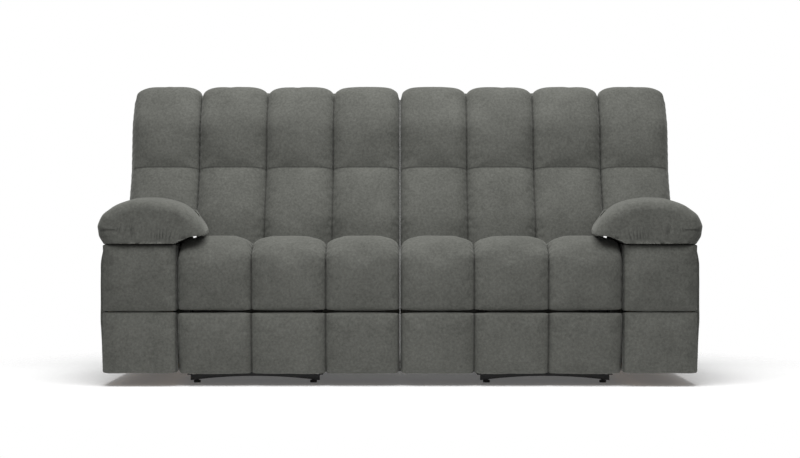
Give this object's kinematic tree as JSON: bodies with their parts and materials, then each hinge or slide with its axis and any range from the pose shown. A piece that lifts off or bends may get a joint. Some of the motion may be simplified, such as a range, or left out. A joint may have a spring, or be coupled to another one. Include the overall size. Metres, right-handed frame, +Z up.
{
  "type": "reclining sofa",
  "caption": "Wide reclining sofa with channelled upholstery; each half has a seat, a back and a footrest on a steel linkage that open together between padded arms.",
  "frame": {"origin": "on the floor under the middle of the sofa", "axes": "+X to the right as seen from the front, -Y to the front, +Z up"},
  "size_m": [2.046, 0.8802, 1.0676],
  "materials": {
    "upholstery": "brushed microfibre suede, charcoal grey",
    "painted_steel": "black powder coat",
    "stamped_steel": "black oxide stamped plate",
    "glide_rubber": "matt black",
    "frame_wood": "raw hardwood and plywood",
    "webbing": "woven elastic webbing",
    "black_plastic": "matt moulded plastic"
  },
  "bodies": {
    "root": {"arm_frame_left": "frame_wood", "arm_frame_right": "frame_wood", "arm_inner_pad_left": "upholstery", "arm_inner_pad_right": "upholstery", "arm_lower_front_pad_left": "upholstery", "arm_lower_front_pad_right": "upholstery", "arm_outer_pad_left": "upholstery", "arm_outer_pad_right": "upholstery", "arm_pillow_left": "upholstery", "arm_pillow_right": "upholstery", "arm_upper_front_pad_left": "upholstery", "arm_upper_front_pad_right": "upholstery", "leveling_glides_left": "glide_rubber", "leveling_glides_right": "glide_rubber", "mechanism_base_left": "painted_steel", "mechanism_base_right": "painted_steel", "rear_apron_left": "upholstery", "rear_apron_right": "upholstery", "release_cup_left": "black_plastic", "release_cup_right": "black_plastic", "unit_tie_bars": "painted_steel"},
    "swing_front_left": {"swing_links_front_left": "stamped_steel"},
    "swing_rear_left": {"swing_links_rear_left": "stamped_steel"},
    "seat_left": {"seat_plates_left": "stamped_steel", "seat_frame_left": "frame_wood", "seat_webbing_left": "webbing", "seat_cushion_left": "upholstery"},
    "drive_left": {"footrest_drive_links_left": "stamped_steel"},
    "guide_left": {"footrest_guide_links_left": "stamped_steel"},
    "lift_left": {"footrest_lift_links_left": "stamped_steel"},
    "outer_left": {"footrest_outer_links_left": "stamped_steel"},
    "footrest_left": {"footrest_brackets_left": "stamped_steel", "footrest_board_left": "frame_wood", "footrest_pad_left": "upholstery"},
    "back_left": {"back_frame_left": "frame_wood", "back_hinge_brackets_left": "stamped_steel", "back_webbing_left": "webbing", "back_cushion_left": "upholstery", "back_outer_panel_left": "upholstery"},
    "lever_left": {"release_lever_left": "black_plastic"},
    "swing_front_right": {"swing_links_front_right": "stamped_steel"},
    "swing_rear_right": {"swing_links_rear_right": "stamped_steel"},
    "seat_right": {"seat_plates_right": "stamped_steel", "seat_frame_right": "frame_wood", "seat_webbing_right": "webbing", "seat_cushion_right": "upholstery"},
    "drive_right": {"footrest_drive_links_right": "stamped_steel"},
    "guide_right": {"footrest_guide_links_right": "stamped_steel"},
    "lift_right": {"footrest_lift_links_right": "stamped_steel"},
    "outer_right": {"footrest_outer_links_right": "stamped_steel"},
    "footrest_right": {"footrest_brackets_right": "stamped_steel", "footrest_board_right": "frame_wood", "footrest_pad_right": "upholstery"},
    "back_right": {"back_frame_right": "frame_wood", "back_hinge_brackets_right": "stamped_steel", "back_webbing_right": "webbing", "back_cushion_right": "upholstery", "back_outer_panel_right": "upholstery"},
    "lever_right": {"release_lever_right": "black_plastic"}
  },
  "joints": [
    {"name": "swing_front_left", "type": "hinge", "parent": "root", "child": "swing_front_left", "pos_m": [-0.5, -0.1985, 0.075], "axis": [1, 0, 0], "range_deg": [0, 24]},
    {"name": "swing_rear_left", "type": "hinge", "parent": "root", "child": "swing_rear_left", "pos_m": [-0.5, 0.1315, 0.075], "axis": [1, 0, 0], "range_deg": [0, 24]},
    {"name": "seat_carry_left", "type": "hinge", "parent": "swing_front_left", "child": "seat_left", "pos_m": [-0.5, -0.17355, 0.19238], "axis": [1, 0, 0], "range_deg": [-24, 0]},
    {"name": "back_recline_left", "type": "hinge", "parent": "seat_left", "child": "back_left", "pos_m": [-0.5, 0.1795, 0.385], "axis": [-1, 0, 0], "range_deg": [0, 35]},
    {"name": "footrest_extend_left", "type": "hinge", "parent": "seat_left", "child": "drive_left", "pos_m": [-0.5, -0.2985, 0.224], "axis": [-1, 0, 0], "range_deg": [0, 110]},
    {"name": "footrest_lift_left", "type": "hinge", "parent": "drive_left", "child": "lift_left", "pos_m": [-0.5, -0.211, 0.07245], "axis": [-1, 0, 0], "range_deg": [-110, 0]},
    {"name": "footrest_guide_left", "type": "hinge", "parent": "seat_left", "child": "guide_left", "pos_m": [-0.5, -0.34043, 0.25123], "axis": [-1, 0, 0], "range_deg": [0, 110]},
    {"name": "footrest_outer_left", "type": "hinge", "parent": "guide_left", "child": "outer_left", "pos_m": [-0.5, -0.23293, 0.06504], "axis": [-1, 0, 0], "range_deg": [-110, 0]},
    {"name": "footrest_level_left", "type": "hinge", "parent": "lift_left", "child": "footrest_left", "pos_m": [-0.5, -0.35861, 0.1683], "axis": [-1, 0, 0], "range_deg": [0, 110]},
    {"name": "release_lever_left", "type": "hinge", "parent": "root", "child": "lever_left", "pos_m": [-1.013, -0.0835, 0.411], "axis": [0, 1, 0], "range_deg": [0, 30], "stiffness_Nm_per_rad": 0.15, "springref_deg": -10},
    {"name": "swing_front_right", "type": "hinge", "parent": "root", "child": "swing_front_right", "pos_m": [0.5, -0.1985, 0.075], "axis": [1, 0, 0], "range_deg": [0, 24]},
    {"name": "swing_rear_right", "type": "hinge", "parent": "root", "child": "swing_rear_right", "pos_m": [0.5, 0.1315, 0.075], "axis": [1, 0, 0], "range_deg": [0, 24]},
    {"name": "seat_carry_right", "type": "hinge", "parent": "swing_front_right", "child": "seat_right", "pos_m": [0.5, -0.17355, 0.19238], "axis": [1, 0, 0], "range_deg": [-24, 0]},
    {"name": "back_recline_right", "type": "hinge", "parent": "seat_right", "child": "back_right", "pos_m": [0.5, 0.1795, 0.385], "axis": [-1, 0, 0], "range_deg": [0, 35]},
    {"name": "footrest_extend_right", "type": "hinge", "parent": "seat_right", "child": "drive_right", "pos_m": [0.5, -0.2985, 0.224], "axis": [-1, 0, 0], "range_deg": [0, 110]},
    {"name": "footrest_lift_right", "type": "hinge", "parent": "drive_right", "child": "lift_right", "pos_m": [0.5, -0.211, 0.07245], "axis": [-1, 0, 0], "range_deg": [-110, 0]},
    {"name": "footrest_guide_right", "type": "hinge", "parent": "seat_right", "child": "guide_right", "pos_m": [0.5, -0.34043, 0.25123], "axis": [-1, 0, 0], "range_deg": [0, 110]},
    {"name": "footrest_outer_right", "type": "hinge", "parent": "guide_right", "child": "outer_right", "pos_m": [0.5, -0.23293, 0.06504], "axis": [-1, 0, 0], "range_deg": [-110, 0]},
    {"name": "footrest_level_right", "type": "hinge", "parent": "lift_right", "child": "footrest_right", "pos_m": [0.5, -0.35861, 0.1683], "axis": [-1, 0, 0], "range_deg": [0, 110]},
    {"name": "release_lever_right", "type": "hinge", "parent": "root", "child": "lever_right", "pos_m": [1.013, -0.0835, 0.411], "axis": [0, -1, 0], "range_deg": [0, 30], "stiffness_Nm_per_rad": 0.15, "springref_deg": -10}
  ],
  "couplings": [
    {"joint": "swing_front_left", "follows": "back_recline_left", "ratio": 0.68571},
    {"joint": "swing_rear_left", "follows": "back_recline_left", "ratio": 0.68571},
    {"joint": "seat_carry_left", "follows": "back_recline_left", "ratio": -0.68571},
    {"joint": "footrest_lift_left", "follows": "footrest_extend_left", "ratio": -1},
    {"joint": "footrest_guide_left", "follows": "footrest_extend_left", "ratio": 1},
    {"joint": "footrest_outer_left", "follows": "footrest_extend_left", "ratio": -1},
    {"joint": "footrest_level_left", "follows": "footrest_extend_left", "ratio": 1},
    {"joint": "swing_front_right", "follows": "back_recline_right", "ratio": 0.68571},
    {"joint": "swing_rear_right", "follows": "back_recline_right", "ratio": 0.68571},
    {"joint": "seat_carry_right", "follows": "back_recline_right", "ratio": -0.68571},
    {"joint": "footrest_lift_right", "follows": "footrest_extend_right", "ratio": -1},
    {"joint": "footrest_guide_right", "follows": "footrest_extend_right", "ratio": 1},
    {"joint": "footrest_outer_right", "follows": "footrest_extend_right", "ratio": -1},
    {"joint": "footrest_level_right", "follows": "footrest_extend_right", "ratio": 1}
  ]
}
